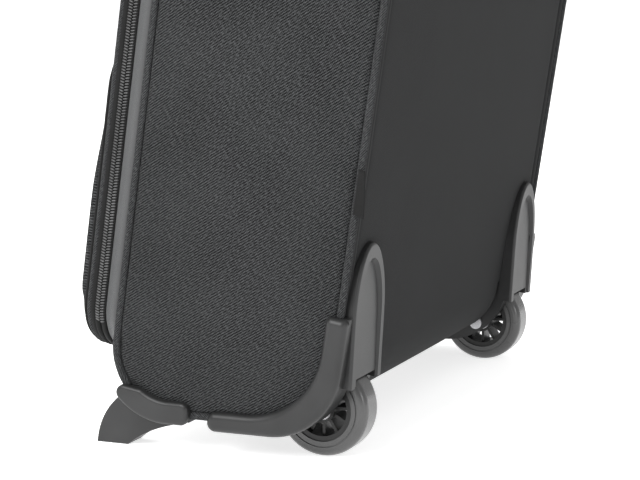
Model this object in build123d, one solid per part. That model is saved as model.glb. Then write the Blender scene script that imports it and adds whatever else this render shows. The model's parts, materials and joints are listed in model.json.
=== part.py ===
"""Soft-sided rolling laptop case with a telescopic pull handle, two wheels and two feet.

Everything is modelled in the case frame, in millimetres: X across the case, Y from the front to the back,
Z up along the walls. The case leans back on its feet, so each piece is turned by LEAN before it is written,
and moved so that the origin lies under the middle of the whole case.
"""

import os
from math import atan2, cos, radians, sin

from build123d import *

# The whole case
LEAN = 9.4                 # how far the walls lean back from upright, degrees
FLOOR_GAP = 25             # height of the bottom panel over the floor
HALF_WIDTH = 193.5         # outer face of a side panel
BACK, FRONT, TOP = 76, -84, 415
R_TOP, R_FRONT_BOTTOM, R_REAR_BOTTOM = 24, 42, 46
CENTRE_Y = 16.85           # middle of the case's footprint box before it is centred
GAP = 0.4                  # air left between pieces that move past each other
SNUG = 0.1                 # air left between pieces that are fixed together

# Body
WRAP = 4                   # thickness of the padded wrap round back, top, bottom and front
PANEL = 5                  # thickness of a side panel
PANEL_INSET = 3.5
PIPING_R = 2.7
WRAP_HALF = HALF_WIDTH - PANEL

# Front section: a gusset with the zipper, then the lid
SECTION_HALF = 187
SECTION_LOW, SECTION_HIGH = 45, 391
SECTION_R = 38
GUSSET = 3
ZIP_Y = -98.5              # front edge of the body's gusset
ZIP_ROW = 2.5              # each half of the zipper, front to back
LID_Y = ZIP_Y - 2 * ZIP_ROW - 2 * GAP
LID_DEPTH = 5
LID_FACE = 3.4
LID_FRONT = LID_Y - LID_DEPTH - LID_FACE
HINGE_Y, HINGE_Z = ZIP_Y - ZIP_ROW - GAP, SECTION_LOW

# Wheels
WHEEL_R, WHEEL_WIDTH = 32.5, 24
WHEEL_BACK = 68.3          # from the middle of the piping to the axle, level with the floor
WHEEL_X = 159.5
RIM_R, RIM_WALL, HUB_R = 22, 3.5, 9.5
SPOKES = 12
AXLE_R = 3
BEARING_R, BEARING_WIDTH = 7.5, 5
WELL_R = 36.5

# Wheel housing and foot
GUARD_OUT, GUARD_UNDER = 6.5, 8
PLATE_X = HALF_WIDTH + SNUG
PLATE, GUARD_ROUND = 5.5, 4.5
GUARD_TOP, GUARD_FRONT = 113, -7
ARCH_X, ARCH_HALF, ARCH_STRAIGHT, ARCH_TOP, ARCH_LOW = 162.4, 25.8, 108, 159, 66
ARCH_LIP, ARCH_CREST = 12, 4
ARCH_DEEP_LOW, ARCH_DEEP_HIGH = 1.4, 3.2     # depth of its channel at the lip and at the crest
FOOT_OUT, FOOT_FRONT = 5.5, 9.5
FOOT_X0, LEG_X0, FOOT_X1 = 152, 169, 187
FOOT_ROUND = 5.5

# Pull handle
TUBE_X, TUBE_Y = 95, 57
TUBE_WALL = 1.2
OUTER_R, MID_R, INNER_R = 10, 8.45, 6.9
OUTER_LOW, MID_LOW, INNER_LOW = 92, 104, 116
OUTER_HIGH, MID_HIGH, INNER_HIGH = 388, 396, 404
BEZEL_HALF, BEZEL_FRONT, BEZEL_LOW = 124, 38, 389
BEZEL_PROUD = 2.5
GRIP_HALF, GRIP_LOW, GRIP_HIGH = 112, 404, 427
BUTTON_HALF = 19
SPRING_X = 40

# Carry handle on the top panel
CARRY_Y, CARRY_Z = 6, 423
CARRY_HALF, CARRY_REACH = 82, 46


def place(shape):
    """Turns a piece of the case frame into its leaning place over the floor."""
    return Pos(0, -CENTRE_Y, 0) * Rot(-LEAN, 0, 0) * shape


def from_floor(y, z):
    """Case-frame (y, z) of a point given level with the floor."""
    a = radians(LEAN)
    return y * cos(a) - z * sin(a), y * sin(a) + z * cos(a)


WHEEL_Y, WHEEL_Z = from_floor(WHEEL_BACK, WHEEL_R)


def bottom_z(y, inset):
    """Case-frame height of the bottom line, moved up by inset, at y."""
    a = radians(LEAN)
    return (FLOOR_GAP + inset + y * sin(a)) / cos(a)


def side_outline(rear, front, top, bottom, radii):
    """The case seen from the side, each wall moved in by its own amount."""
    y0, y1, z1 = FRONT + front, BACK - rear, TOP - top
    points = [(y0, bottom_z(y0, bottom)), (y1, bottom_z(y1, bottom)), (y1, z1), (y0, z1)]
    return make_face(FilletPolyline(*points, radius=radii, close=True))


def outline(inset):
    """The side outline moved in by inset all round, or out if it is negative."""
    radii = [R_FRONT_BOTTOM - inset, R_REAR_BOTTOM - inset, R_TOP - inset, R_TOP - inset]
    return side_outline(inset, inset, inset, inset, radii)


def along_x(face, x0, x1):
    """A side-view face made solid from x0 to x1."""
    return extrude(Plane.YZ.offset(x0) * face, x1 - x0)


def forward(face, y0, y1):
    """A front-view face made solid from y0 to y1, which lies further forward."""
    return extrude(Plane.XZ.offset(-y0) * face, y0 - y1)


def block(x0, x1, y0, y1, z0, z1):
    """A box between two corners."""
    return Pos((x0 + x1) / 2, (y0 + y1) / 2, (z0 + z1) / 2) * Box(x1 - x0, y1 - y0, z1 - z0)


def rod(x0, x1, y, z, r):
    """A cylinder along X."""
    return Pos((x0 + x1) / 2, y, z) * Rot(0, 90, 0) * Cylinder(r, x1 - x0)


def post(x, y, z0, z1, r):
    """A cylinder along Z."""
    return Pos(x, y, (z0 + z1) / 2) * Cylinder(r, z1 - z0)


def mirrored(shape):
    """The same piece on the other side of the case."""
    return mirror(shape, Plane.YZ)


def both(shape):
    """A piece and its mirror image, as separate solids of one node."""
    return Compound([*shape.solids(), *mirrored(shape).solids()])


def section_face(inset):
    """Front view of the front section, moved in by inset."""
    height = SECTION_HIGH - SECTION_LOW
    face = RectangleRounded(2 * (SECTION_HALF - inset), height - 2 * inset, SECTION_R - inset)
    return Pos(0, (SECTION_HIGH + SECTION_LOW) / 2) * face


# Body ------------------------------------------------------------------------------------------------

def well_drum(x0, x1, r):
    """Round block over the right wheel."""
    return rod(x0, x1, WHEEL_Y, WHEEL_Z, r)


WELL_X0, WELL_X1 = 138, 184
WELL_WALL = 3.5


def body_wrap():
    """Padded wrap: back, bottom, top and front in one band, with the front opening and the wheel wells."""
    band = along_x(outline(0) - outline(WRAP), -WRAP_HALF, WRAP_HALF)
    opening = forward(section_face(14), FRONT + 2 * WRAP, FRONT - 1)
    well = well_drum(WELL_X0 - SNUG, WRAP_HALF + 1, WELL_R + WELL_WALL + SNUG)
    half = BEZEL_HALF + SNUG
    tray = block(-half, half, BEZEL_FRONT - SNUG, BACK + 1, BEZEL_LOW - SNUG, TOP + 1)
    head = well_drum(WELL_X0 - 4, WELL_X0 + 1, 6.5)
    return band - opening - well - mirrored(well) - head - mirrored(head) - tray


def side_panel():
    return along_x(outline(PANEL_INSET), WRAP_HALF, HALF_WIDTH)


def piping():
    """Cord-filled piping round a side panel, stopped where the guard and the foot cover it."""
    inset = PANEL_INSET - PIPING_R - SNUG
    wire = (Plane.YZ.offset(WRAP_HALF + PIPING_R + SNUG) * outline(inset)).wire()
    start = wire.position_at(0)
    section = Plane(start, z_dir=wire.tangent_at(0)) * Circle(PIPING_R)
    tube = sweep(section, path=wire)
    guard = block(0, 300, GUARD_FRONT - 1, BACK + 30, -40, GUARD_TOP + 1)
    (y0, _), (y1, z1) = FOOT_CUT_LOW, FOOT_CUT_HIGH
    foot = block(0, 300, y1 - 30, y0 + 1, -40, z1 + 1)
    return tube - guard - foot


# Wheel housing ------------------------------------------------------------------------------------------

def guard_region(short=0):
    """The part of the side view that the rear corner guard covers, its front end moved back by short."""
    front = GUARD_FRONT + short
    return Pos((front + 120) / 2, (GUARD_TOP - 40) / 2) * Rectangle(120 - front, GUARD_TOP + 40)


def guard_outline():
    """Outer line of the guard: further out under the case than behind it."""
    radii = [R_FRONT_BOTTOM, R_REAR_BOTTOM + 7, R_TOP, R_TOP]
    return side_outline(-GUARD_OUT, -GUARD_OUT, -GUARD_OUT, -GUARD_UNDER, radii)


def guard_face():
    """Side view of the guard: a band that is widest at the corner."""
    window = side_outline(8.5, 0, 0, 5.5, [20, 56, 20, 20])
    face = (guard_outline() - window) & guard_region()
    low_end = face.vertices().filter_by_position(Axis.X, GUARD_FRONT - 1, GUARD_FRONT + 1)
    face = fillet(low_end, 6)
    high_end = face.vertices().filter_by_position(Axis.Y, GUARD_TOP - 1, GUARD_TOP + 1)
    return fillet(high_end, 4)


def arch_face(inset, low):
    """Front view of the arch from low up, moved in by inset."""
    half, top = ARCH_HALF - inset, ARCH_TOP - 1.6 * inset
    straight = Pos(0, (low + ARCH_STRAIGHT) / 2) * Rectangle(2 * half, ARCH_STRAIGHT - low)
    return straight + Pos(0, ARCH_STRAIGHT) * Ellipse(half, top - ARCH_STRAIGHT)


def arch():
    """Raised arch on the back panel over the wheel, with a channel with sloping sides down its middle."""
    y0 = BACK + SNUG
    points = [(y0, ARCH_LOW), (BACK + ARCH_LIP, ARCH_LOW), (BACK + ARCH_CREST, ARCH_TOP), (y0, ARCH_TOP)]
    wedge = along_x(make_face(Polyline(*points, close=True)), ARCH_X - ARCH_HALF, ARCH_X + ARCH_HALF)
    raised = wedge & forward(Pos(ARCH_X, 0) * arch_face(0, ARCH_LOW), BACK + 20, BACK)
    front = raised.faces().sort_by(Axis.Y)[-1]
    raised = fillet([e for e in front.edges() if e.center().Z > ARCH_LOW + 1], 2)
    y_low, y_high = BACK + ARCH_LIP - ARCH_DEEP_LOW, BACK + ARCH_CREST - ARCH_DEEP_HIGH
    slope = atan2(y_low - y_high, ARCH_TOP - ARCH_LOW)
    floor = Plane((ARCH_X, y_low, ARCH_LOW), (-1, 0, 0), (0, cos(slope), sin(slope)))
    channel = extrude(floor * Pos(0, -ARCH_LOW) * arch_face(7.5, ARCH_LOW - 9), 9, taper=-35)
    return raised - channel


def wheel_housing():
    """Moulded corner: guard over the side panel, skirt under the corner, wheel well with two ears, arch."""
    reach = along_x(guard_outline() & guard_region(), WELL_X0, PLATE_X)
    plate = along_x(guard_face(), PLATE_X, PLATE_X + PLATE)
    skirt = along_x((guard_outline() - outline(-SNUG)) & guard_region(9), WELL_X1 - 4, PLATE_X)
    shell = plate + skirt
    outer = shell.edges().filter_by_position(Axis.X, PLATE_X + PLATE - 0.1, PLATE_X + PLATE + 0.1)
    shell = fillet(outer, GUARD_ROUND)
    drum = well_drum(WELL_X0, WELL_X1, WELL_R + WELL_WALL) & reach
    cavity = well_drum(WELL_X0 + 2 * WELL_WALL, WELL_X1 - 2 * WELL_WALL, WELL_R)
    bore = rod(WELL_X0 - 1, WELL_X1 + 1, WHEEL_Y, WHEEL_Z, AXLE_R + SNUG)
    nut_seat = rod(WELL_X1, WRAP_HALF + 1, WHEEL_Y, WHEEL_Z, 6.6)
    return shell + drum + arch() - cavity - bore - nut_seat


def wheel_x(x0, x1, r):
    return rod(WHEEL_X + x0, WHEEL_X + x1, WHEEL_Y, WHEEL_Z, r)


def tyre():
    """Polyurethane tread with rounded shoulders."""
    half = WHEEL_WIDTH / 2
    ring = wheel_x(-half, half, WHEEL_R)
    ring = fillet(ring.edges().filter_by(GeomType.CIRCLE), 5.5)
    groove = wheel_x(half - 0.8, half + 1, RIM_R + 4) - wheel_x(half - 1, half + 2, RIM_R + 3)
    back_groove = wheel_x(-half - 1, -half + 0.8, RIM_R + 4) - wheel_x(-half - 2, -half + 1, RIM_R + 3)
    return ring - wheel_x(-half - 1, half + 1, RIM_R) - groove - back_groove


def rim():
    """Spoked core of a wheel, with a bearing seat at each end of its hub."""
    half = WHEEL_WIDTH / 2 - 1
    band = wheel_x(-half, half, RIM_R) - wheel_x(-half - 1, half + 1, RIM_R - RIM_WALL)
    hub = wheel_x(-half, half, HUB_R)
    length = RIM_R - RIM_WALL - HUB_R + 1.6
    for i in range(SPOKES):
        spoke = Pos(0, 0, HUB_R + length / 2 - 0.8) * Box(14, 2, length)
        hub += Pos(WHEEL_X, WHEEL_Y, WHEEL_Z) * Rot(360 / SPOKES * (i + 0.35), 0, 0) * spoke
    seat = wheel_x(half - BEARING_WIDTH, half + 1, BEARING_R)
    seat += wheel_x(-half - 1, BEARING_WIDTH - half, BEARING_R)
    return band + hub - seat - wheel_x(-half, half, AXLE_R + 1.5)


def bearings():
    """Two sealed ball bearings, one at each end of the hub, each with its shield grooves."""
    half = WHEEL_WIDTH / 2 - 1

    def bearing(x0):
        ring = wheel_x(x0, x0 + BEARING_WIDTH, BEARING_R)
        ring -= wheel_x(x0 - 1, x0 + BEARING_WIDTH + 1, AXLE_R + 0.03)
        for x in (x0, x0 + BEARING_WIDTH):
            ring -= wheel_x(x - 0.3, x + 0.3, BEARING_R - 1.2) - wheel_x(x - 1, x + 1, AXLE_R + 1.3)
        return ring

    return Compound([*bearing(-half).solids(), *bearing(half - BEARING_WIDTH).solids()])


def axle():
    """Steel axle bolt with its head on the inner ear and a nut on the outer ear."""
    head = rod(WELL_X0 - 3, WELL_X0, WHEEL_Y, WHEEL_Z, 5)
    nut_face = Pos(WHEEL_Y, WHEEL_Z) * RegularPolygon(5.2, 6)
    nut = along_x(nut_face, WELL_X1, WRAP_HALF - SNUG)
    return rod(WELL_X0 - 1, WELL_X1 + 1, WHEEL_Y, WHEEL_Z, AXLE_R) + head + nut


def axle_spacers():
    """Washers between the bearings and the ears."""
    half = WHEEL_WIDTH / 2 - 1

    def spacer(x0, x1):
        return wheel_x(x0, x1, AXLE_R + 1.2) - wheel_x(x0 - 1, x1 + 1, AXLE_R + 0.05)

    inner = spacer(WELL_X0 + 2 * WELL_WALL - WHEEL_X, -half - SNUG)
    outer = spacer(half + SNUG, WELL_X1 - 2 * WELL_WALL - WHEEL_X)
    return Compound([*inner.solids(), *outer.solids()])


# Feet ---------------------------------------------------------------------------------------------------

FOOT_CUT_LOW = from_floor(-17, 26)
FOOT_CUT_HIGH = from_floor(-70, 45)


def foot_region(drop):
    """The corner that the foot covers, its upper end lowered by drop."""
    (y0, _), (y1, z1) = FOOT_CUT_LOW, FOOT_CUT_HIGH
    return Pos((y0 + y1 - 20) / 2, (z1 - drop) / 2 - 20) * Rectangle(y0 - y1 + 20, z1 - drop + 40)


def foot_outline(inset):
    """Outer line of the foot's cap: further out in front of the case than under it."""
    radii = [R_FRONT_BOTTOM + 7 - inset, R_REAR_BOTTOM, R_TOP, R_TOP]
    return side_outline(0, inset - FOOT_FRONT, 0, inset - FOOT_OUT, radii)


def foot_face():
    """Side view of the cap over the front corner, its ends rounded."""
    window = side_outline(0, 8, 0, 10, [34, 20, 20, 20])
    (y0, _), (_, z1) = FOOT_CUT_LOW, FOOT_CUT_HIGH
    face = (foot_outline(0) - window) & foot_region(0)
    low_end = face.vertices().filter_by_position(Axis.X, y0 - 1, y0 + 1)
    high_end = face.vertices().filter_by_position(Axis.Y, z1 - 0.5, z1 + 0.5)
    return fillet([*low_end, *high_end], FOOT_ROUND)


def blade():
    """The leg: it sweeps forward and down to a flat sole on the floor."""
    tip, heel = from_floor(-93, 0), from_floor(-69, 0)
    top, back = from_floor(-75, 33), from_floor(-30, 26)
    front = Spline(top, from_floor(-87.5, 18), tip)
    sole = Line(tip, heel)
    rear = Spline(heel, from_floor(-58, 7.5), from_floor(-47, 12.5), from_floor(-32, 17))
    close = Polyline(from_floor(-32, 17), back, top)
    leg = along_x(make_face(front + sole + rear + close), LEG_X0, FOOT_X1)
    return leg - along_x(outline(-SNUG), FOOT_X0 - 1, FOOT_X1 + 1)


def foot():
    """Moulded front foot: cap over the side panel's corner, wrap under the case, and the leg."""
    plate = along_x(foot_face(), PLATE_X, PLATE_X + PLATE)
    rim_edges = plate.edges().filter_by_position(Axis.X, PLATE_X + PLATE - 0.1, PLATE_X + PLATE + 0.1)
    plate = fillet(rim_edges, 2.6)
    skirt = along_x((foot_outline(1.5) - outline(-SNUG)) & foot_region(7), FOOT_X0, PLATE_X)
    return plate + skirt + blade()


# Front section --------------------------------------------------------------------------------------------

ZIP_END_Z = SECTION_LOW + 22


def below_zip():
    """The space under the zipper's two ends."""
    half = SECTION_HALF + 1
    return block(-half, half, LID_Y - 1, ZIP_Y + 1, SECTION_LOW - 1, ZIP_END_Z - SNUG)


def opening_gusset():
    """Fabric wall round the front opening, which carries the body's half of the zipper."""
    ring = section_face(0) - section_face(GUSSET)
    low_end = forward(ring, ZIP_Y + 1, ZIP_Y - ZIP_ROW) & below_zip()
    return forward(ring, FRONT, ZIP_Y) + low_end


def zip_row(y0, y1):
    """One half of the main zipper: up one side, over the top and down the other."""
    ring = forward(section_face(0) - section_face(GUSSET), y0, y1)
    return ring - block(-SECTION_HALF - 1, SECTION_HALF + 1, y1 - 1, y0 + 1, SECTION_LOW - 1, ZIP_END_Z)


def lid_shell():
    """Front lid: a shallow tray of padded fabric."""
    wall = forward(section_face(0) - section_face(GUSSET), LID_Y, LID_Y - LID_DEPTH)
    face = forward(section_face(0), LID_Y - LID_DEPTH, LID_FRONT)
    low_end = forward(section_face(0) - section_face(GUSSET), LID_Y + ZIP_ROW, LID_Y - 1) & below_zip()
    shell = wall + face + low_end
    front_edges = shell.edges().filter_by_position(Axis.Y, LID_FRONT - 0.1, LID_FRONT + 0.1)
    return fillet(front_edges, 3.4)


POCKET_HALF, POCKET_LOW, POCKET_HIGH, POCKET_DEPTH = 184, 48, 262, 8
POCKET_R, POCKET_HEM = 35, 1.2
POCKET_FULL, POCKET_FLAT = 155, 232


def front_pocket():
    """Large pocket on the lid: flat under its zipper and full in its lower part."""
    height = POCKET_HIGH - POCKET_LOW
    centre = (POCKET_HIGH + POCKET_LOW) / 2
    base = Pos(0, centre) * RectangleRounded(2 * POCKET_HALF, height, POCKET_R)
    pouch = forward(base, LID_FRONT - SNUG, LID_FRONT - POCKET_DEPTH)
    flat, full, y = LID_FRONT - POCKET_HEM, LID_FRONT - POCKET_DEPTH, LID_FRONT - SNUG
    low = [(y, POCKET_LOW), (flat, POCKET_LOW), (full + 2, POCKET_LOW + 8), (full, POCKET_LOW + 22)]
    high = [(full, POCKET_FULL), (flat, POCKET_FLAT), (flat, POCKET_HIGH), (y, POCKET_HIGH)]
    side = Polyline(*low, *high, close=True)
    return pouch & along_x(make_face(side), -POCKET_HALF, POCKET_HALF)


POCKET_ZIP_Z = POCKET_HIGH + 8
POCKET_ZIP_Y = LID_FRONT - SNUG


def pocket_zip():
    """Straight zipper above the front pocket."""
    return block(-150, 150, POCKET_ZIP_Y - 2, POCKET_ZIP_Y, POCKET_ZIP_Z - 3, POCKET_ZIP_Z + 3)


UPPER_ZIP_Z = 340


def upper_zip():
    """Shorter zipper of the slim upper pocket."""
    return block(-120, 120, POCKET_ZIP_Y - 2, POCKET_ZIP_Y, UPPER_ZIP_Z - 3, UPPER_ZIP_Z + 3)


def badge():
    """Plain metal name plate, left blank."""
    plate = Pos(0, 306) * RectangleRounded(46, 15, 3)
    return forward(plate, LID_FRONT - SNUG, LID_FRONT - 1.6)


def lid_organiser():
    """Flat sewn pocket on the inside of the lid."""
    face = Pos(0, 205) * RectangleRounded(300, 220, 12)
    return forward(face, LID_Y - LID_DEPTH + 3, LID_Y - LID_DEPTH + SNUG)


# Zipper sliders: a slider along +X on a surface that faces +Z, at the origin ------------------------------

PULL_DROOP = 2.5


def slider_body(bridge_turn=0):
    """Wedge-shaped slider with its bridge."""
    shape = make_face(FilletPolyline((-5, -4.4), (5, -3), (5, 3), (-5, 4.4), radius=1.2, close=True))
    plate = extrude(shape, 2)
    legs = Pos(-3, 0, 3) * Box(1.6, 2.2, 2.4) + Pos(3, 0, 3) * Box(1.6, 2.2, 2.4)
    bridge = Pos(0, 0, 4.7) * Box(7.6, 2.2, 1)
    return plate + Rot(0, 0, bridge_turn) * (legs + bridge)


def pull_tab():
    """Pull: a pin that passes under the bridge, two arms and a long rounded tab."""
    arms = Pos(4.6, 3.8, 0) * Box(9.2, 1.4, 1.2) + Pos(4.6, -3.8, 0) * Box(9.2, 1.4, 1.2)
    pin = Rot(90, 0, 0) * Cylinder(0.6, 9)
    tab = Pos(22, 0, -0.9) * extrude(RectangleRounded(33, 9, 3.5), 1.8)
    return Rot(0, PULL_DROOP, 0) * (pin + arms + tab)


PULL_PIN_Z = 3.1


def main_slider(side):
    """Slider of the main zipper at the middle of the top run."""
    turn = Rot(0, 0, 0) if side > 0 else Rot(0, 0, 180)
    spot = Pos(side * 9, ZIP_Y - ZIP_ROW - GAP, SECTION_HIGH + GAP)
    return spot * turn * slider_body(), spot * turn * Pos(0, 0, PULL_PIN_Z) * pull_tab()


def pocket_slider(x, z):
    """Slider on the face of the lid: the pull hangs down."""
    spot = Pos(x, POCKET_ZIP_Y - 2 - GAP, z) * Rot(90, 0, 0)
    return spot * slider_body(90), spot * Pos(0, 0, PULL_PIN_Z) * Rot(0, 0, -90) * pull_tab()


# Pull handle ------------------------------------------------------------------------------------------------

def tube(x, z0, z1, r):
    return post(x, TUBE_Y, z0, z1, r) - post(x, TUBE_Y, z0 - 1, z1 + 1, r - TUBE_WALL)


def handle_bezel():
    """Moulded housing at the top rear corner that the grip sinks into, with a hole for each leg."""
    depth = BACK + 5 - BEZEL_FRONT
    region = Pos(BEZEL_FRONT + depth / 2, BEZEL_LOW + 20) * Rectangle(depth, 40)
    body = along_x(outline(-BEZEL_PROUD) & region, -BEZEL_HALF, BEZEL_HALF)
    body = fillet(body.edges().filter_by_position(Axis.Z, TOP + 2, TOP + 3).filter_by(Axis.X), 2)
    well = block(-BEZEL_HALF + 5, BEZEL_HALF - 5, TUBE_Y - 14, TUBE_Y + 14, GRIP_LOW - 6, TOP + 9)
    well = fillet(well.edges().filter_by(Axis.Z), 6)
    legs = [post(x, TUBE_Y, BEZEL_LOW - 1, GRIP_LOW, OUTER_R - TUBE_WALL) for x in (-TUBE_X, TUBE_X)]
    return body - well - legs[0] - legs[1]


def tube_foot():
    """Bracket that holds the lower ends of both outer tubes to the back board."""
    y1 = BACK - WRAP - 2 - 2 * SNUG
    bar = block(-TUBE_X - 16, TUBE_X + 16, TUBE_Y - 12, y1, OUTER_LOW - 4, OUTER_LOW + 18)
    bar -= block(-TUBE_X + 16, TUBE_X - 16, TUBE_Y - 13, y1 - 3, OUTER_LOW - 5, OUTER_LOW + 19)
    for x in (-TUBE_X, TUBE_X):
        bar -= post(x, TUBE_Y, OUTER_LOW, OUTER_LOW + 19, OUTER_R + SNUG)
    return bar


def tube_guides():
    """Plastic bushes in the tops of the outer tubes' cradle, under the bezel."""
    ring = post(TUBE_X, TUBE_Y, 368, BEZEL_LOW - SNUG, OUTER_R + 2.6)
    ring -= post(TUBE_X, TUBE_Y, 360, 400, OUTER_R + SNUG)
    return both(ring)


def mid_collars():
    """Collars at the tops of the middle tubes."""
    ring = post(TUBE_X, TUBE_Y, MID_HIGH + 0.05, MID_HIGH + 2.5, MID_R)
    ring -= post(TUBE_X, TUBE_Y, 380, 420, INNER_R + 0.35)
    return both(ring)


def grip():
    """Moulded grip with a socket for each inner tube and a pocket for the button."""
    bar = block(-GRIP_HALF, GRIP_HALF, TUBE_Y - 11.5, TUBE_Y + 11.5, GRIP_LOW, GRIP_HIGH)
    bar = fillet(bar.edges().filter_by(Axis.Z), 9)
    bar = fillet(bar.edges().filter_by_position(Axis.Z, GRIP_HIGH - 0.1, GRIP_HIGH + 0.1), 6)
    bar = fillet(bar.edges().filter_by_position(Axis.Z, GRIP_LOW - 0.1, GRIP_LOW + 0.1), 2)
    half = BUTTON_HALF + 0.3
    pocket = block(-half, half, TUBE_Y - 5.3, TUBE_Y + 5.3, GRIP_HIGH - 15, GRIP_HIGH + 1)
    duct = block(-TUBE_X - 3, TUBE_X + 3, TUBE_Y - 3, TUBE_Y + 3, GRIP_HIGH - 18, GRIP_HIGH - 9)
    sockets = [post(x, TUBE_Y, GRIP_LOW - 1, GRIP_LOW + 8, 3.2) for x in (-TUBE_X, TUBE_X)]
    seats = [post(x, TUBE_Y, GRIP_HIGH - 20, GRIP_HIGH - 17, 3.4) for x in (-SPRING_X, SPRING_X)]
    return bar - pocket - duct - sockets[0] - sockets[1] - seats[0] - seats[1]


def button():
    """Release button with the yoke that joins it to the two rods."""
    cap = block(-BUTTON_HALF, BUTTON_HALF, TUBE_Y - 5, TUBE_Y + 5, GRIP_HIGH - 8, GRIP_HIGH + 1.5)
    return fillet(cap.edges().filter_by_position(Axis.Z, GRIP_HIGH + 1.4, GRIP_HIGH + 1.6), 1.5)


def release_rods():
    """Yoke under the button and a rod down each inner tube, ending in a lock plunger."""
    yoke = block(-TUBE_X - 2, TUBE_X + 2, TUBE_Y - 2, TUBE_Y + 2, GRIP_HIGH - 11, GRIP_HIGH - 9.2)
    stem = block(-8, 8, TUBE_Y - 2, TUBE_Y + 2, GRIP_HIGH - 9.3, GRIP_HIGH - 8 - SNUG)
    bars = [post(x, TUBE_Y, INNER_LOW + 8, GRIP_HIGH - 10, 1.8) for x in (-TUBE_X, TUBE_X)]
    plungers = [post(x, TUBE_Y, INNER_LOW + 7, INNER_LOW + 20, 4.5) for x in (-TUBE_X, TUBE_X)]
    return yoke + stem + bars[0] + bars[1] + plungers[0] + plungers[1]


def button_spring():
    """Coil springs under the yoke that lift the button again."""
    coil = Helix(pitch=1.3, height=4.2, radius=2)
    wire = sweep(Plane(coil @ 0, z_dir=coil % 0) * Circle(0.35), path=coil)
    return both(Pos(SPRING_X, TUBE_Y, GRIP_HIGH - 15.8) * wire)


# Carry handle -----------------------------------------------------------------------------------------------

def carry_handle():
    """Swinging grip, folded forward on the top panel: two arms and a thick bar."""
    path = FilletPolyline(
        (-CARRY_HALF, CARRY_Y, CARRY_Z), (-CARRY_HALF + 8, CARRY_Y - CARRY_REACH, CARRY_Z),
        (CARRY_HALF - 8, CARRY_Y - CARRY_REACH, CARRY_Z), (CARRY_HALF, CARRY_Y, CARRY_Z), radius=16)
    arms = sweep(Plane(path @ 0, z_dir=path % 0) * Rectangle(7, 10), path=path)
    bar = rod(-52, 52, CARRY_Y - CARRY_REACH, CARRY_Z, 7.4)
    bar = fillet(bar.edges().filter_by(GeomType.CIRCLE), 5)
    eyes = rod(CARRY_HALF - 5, CARRY_HALF + 5, CARRY_Y, CARRY_Z, 5)
    whole = arms + bar + eyes + mirrored(eyes)
    return whole - rod(-CARRY_HALF - 9, CARRY_HALF + 9, CARRY_Y, CARRY_Z, 2.05)


def carry_bracket():
    """Base with two ears that holds one end of the carry handle."""
    base = block(CARRY_HALF - 14, CARRY_HALF + 14, CARRY_Y - 9, CARRY_Y + 13, TOP + SNUG, TOP + 2.5)
    base = fillet(base.edges().filter_by(Axis.Z), 4)
    for x in (CARRY_HALF - 8.5, CARRY_HALF + 8.5):
        stem = block(x - 2, x + 2, CARRY_Y - 5.5, CARRY_Y + 5.5, TOP + 1, CARRY_Z)
        base += stem + rod(x - 2, x + 2, CARRY_Y, CARRY_Z, 5.5)
    return base - rod(CARRY_HALF - 12, CARRY_HALF + 12, CARRY_Y, CARRY_Z, 2.05)


def carry_pin():
    return rod(CARRY_HALF - 11.5, CARRY_HALF + 11.5, CARRY_Y, CARRY_Z, 2)


# Inside ---------------------------------------------------------------------------------------------------

LINING_Y = 42
LINING = 2


def well_clearance():
    hole = well_drum(WELL_X0 - 6, WRAP_HALF + 1, WELL_R + WELL_WALL + 1)
    return hole + mirrored(hole)


def back_board():
    """Stiff sheet against the back panel."""
    face = Pos(0, (90 + 384) / 2) * RectangleRounded(340, 294, 10)
    return forward(face, BACK - WRAP - SNUG, BACK - WRAP - SNUG - 2)


def base_board():
    """Stiff sheet on the bottom panel."""
    y0, y1 = -33, 35
    points = [(y0, bottom_z(y0, WRAP + SNUG)), (y1, bottom_z(y1, WRAP + SNUG)),
              (y1, bottom_z(y1, WRAP + 3)), (y0, bottom_z(y0, WRAP + 3))]
    return along_x(make_face(Polyline(*points, close=True)), -184, 184) - well_clearance()


def rear_lining():
    """Lining panel that hides the handle tubes from the main compartment."""
    face = Pos(0, (42 + 386) / 2) * RectangleRounded(370, 344, 8)
    return forward(face, LINING_Y, LINING_Y - LINING) - well_clearance()


def laptop_pad():
    """Padded divider that makes the laptop sleeve, in front of the lining."""
    face = Pos(0, 188) * RectangleRounded(340, 250, 14)
    return forward(face, LINING_Y - 42, LINING_Y - 50) - well_clearance()


def sleeve_strap():
    """Strap over the top of the laptop, from the lining to the pad."""
    over = block(-19, 19, LINING_Y - 52.5, LINING_Y - 2 - SNUG, 318, 320)
    down = block(-19, 19, LINING_Y - 52.5, LINING_Y - 50.2, 270, 320)
    up = block(-19, 19, LINING_Y - 3.5, LINING_Y - 2 - SNUG, 320, 350)
    return over + down + up


def file_divider():
    """Thin sheet that parts the papers from the laptop."""
    face = Pos(0, 170) * RectangleRounded(330, 216, 10)
    return forward(face, -34, -35.5)


def seam_tag():
    """Blank fabric tag sewn in beside the rear piping of the right side, which it lies over."""
    flap = Rot(0, 0, 80) * Pos(4.2, 0, 0) * Box(8.4, 0.9, 30)
    return Pos(HALF_WIDTH + 1.1, BACK - 1, 196.5) * flap


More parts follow.
